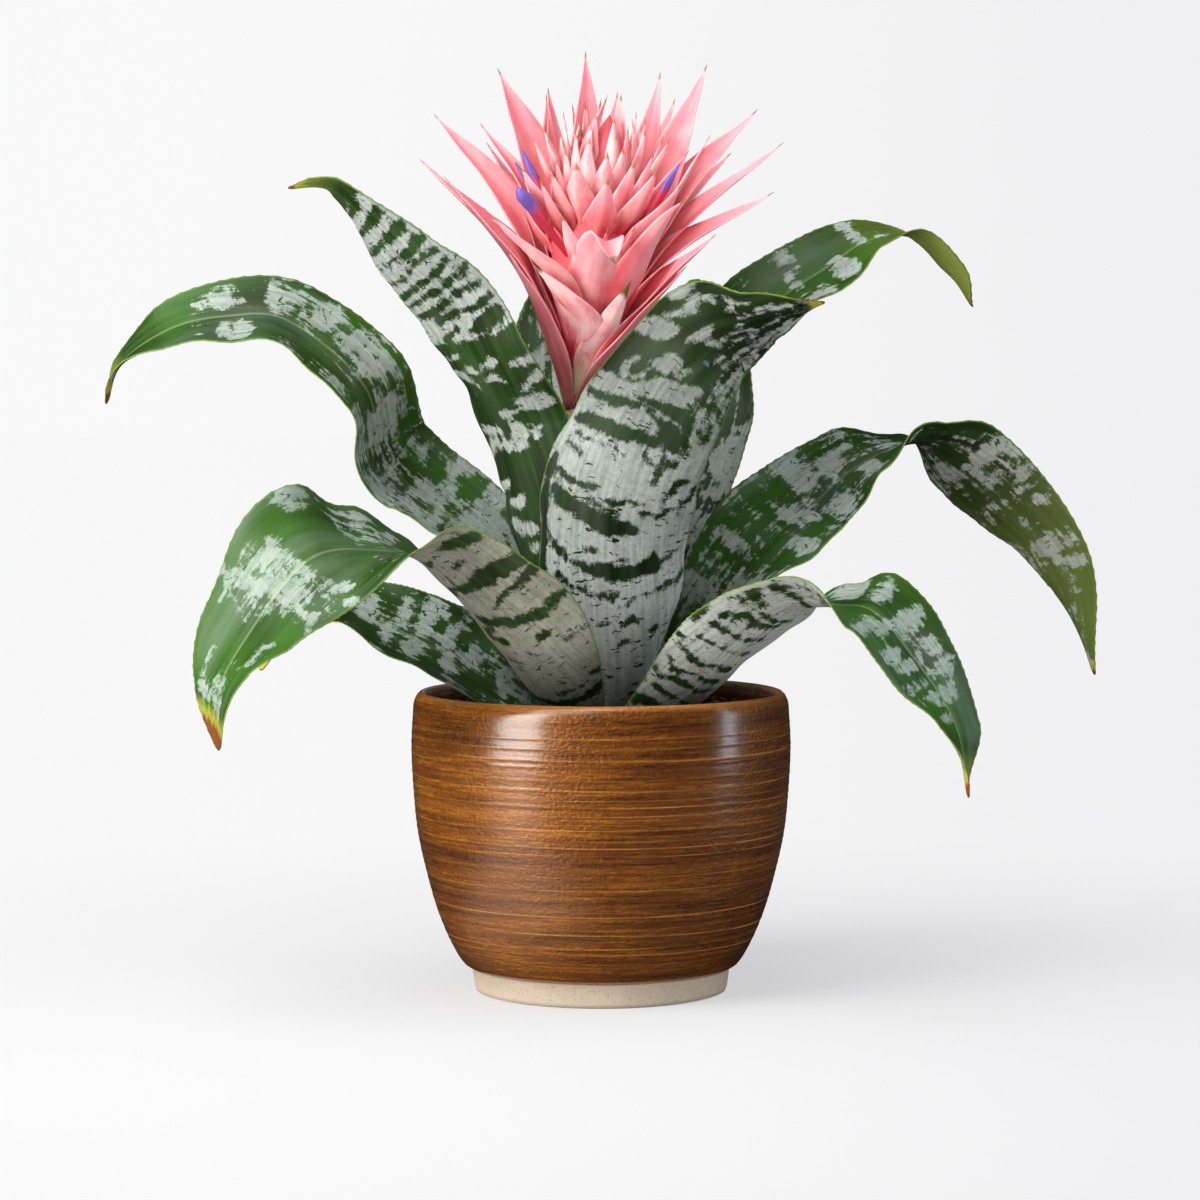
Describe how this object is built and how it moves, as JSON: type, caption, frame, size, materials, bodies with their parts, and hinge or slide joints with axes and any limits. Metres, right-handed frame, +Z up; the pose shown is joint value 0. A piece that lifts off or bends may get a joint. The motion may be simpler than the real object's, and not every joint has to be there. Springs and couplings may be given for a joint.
{
  "type": "urn plant",
  "caption": "Bromeliad with silver-banded arching strap leaves and a spiny pink flower head, growing in a round brown glazed pot with a bare stoneware foot.",
  "frame": {"origin": "centre of the flat underside of the pot's foot", "axes": "+Z up, +X to the right and +Y away from the viewer in the front view, with the flower head leaning slightly left of the pot's axis"},
  "size_m": [0.4564, 0.3218, 0.4241],
  "materials": {
    "pot": "gloss",
    "soil": "matte",
    "stem": "matte",
    "leaf": "satin",
    "stalk": "satin",
    "bract": "satin",
    "petal": "satin"
  },
  "bodies": {
    "root": {"pot": "pot", "soil": "soil", "crown_stem": "stem", "leaf_01_front_tall": "leaf", "leaf_02_upper_right": "leaf", "leaf_03_upper_left": "leaf", "leaf_04_left_middle": "leaf", "leaf_05_front_left_low": "leaf", "leaf_06_left_low": "leaf", "leaf_07_back_left": "leaf", "leaf_08_back_right": "leaf", "leaf_09_right_middle": "leaf", "leaf_10_front_right_low": "leaf", "leaf_11_right_low": "leaf", "leaf_12_back": "leaf", "leaf_13_back_left_low": "leaf", "leaf_14_back_right_low": "leaf", "flower_stalk": "stalk", "flower_head": "bract", "petal_01_left_upper": "petal", "petal_02_left_lower": "petal", "petal_03_right": "petal", "petal_04_back_right": "petal", "petal_05_back": "petal", "petal_06_back_left": "petal"}
  },
  "joints": []
}
